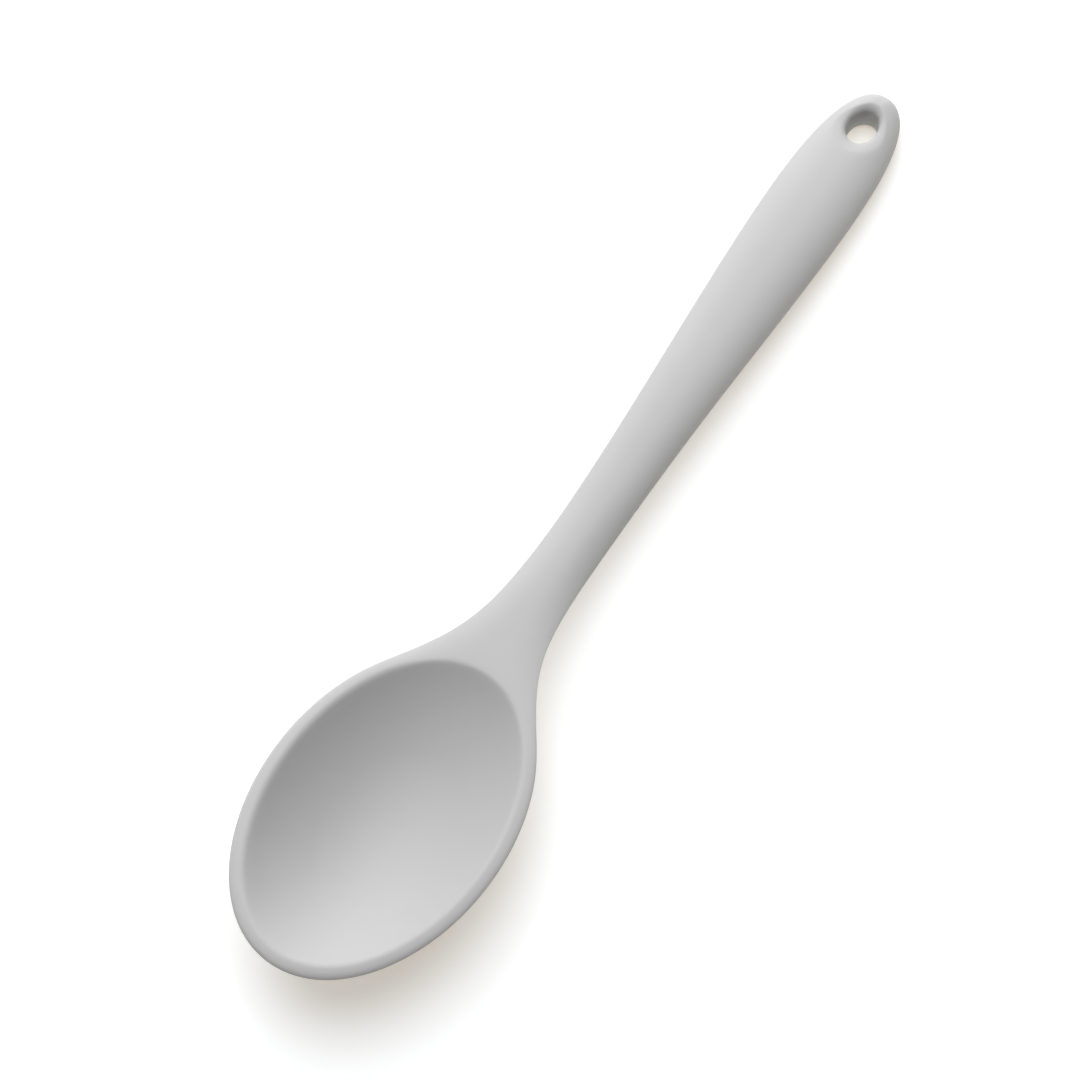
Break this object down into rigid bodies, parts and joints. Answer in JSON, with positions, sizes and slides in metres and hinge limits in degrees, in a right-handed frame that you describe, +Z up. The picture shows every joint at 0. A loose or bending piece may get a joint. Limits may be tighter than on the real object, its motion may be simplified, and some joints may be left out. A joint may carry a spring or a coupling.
{
  "type": "cooking spoon",
  "caption": "Silicone cooking spoon with an oval dished bowl, a waisted handle that swells to a rounded grip, and an oval hanging hole; a stiff nylon core inside a soft jacket.",
  "frame": {"origin": "on the table under the middle of the spoon's length", "axes": "+X along the handle from the bowl to the hanging hole, +Y across, +Z up out of the bowl"},
  "size_m": [0.2728, 0.0604, 0.0246],
  "materials": {
    "silicone": "matte",
    "nylon_core": "matte"
  },
  "bodies": {
    "root": {"core": "nylon_core", "upper_skin": "silicone", "lower_skin": "silicone"}
  },
  "joints": []
}
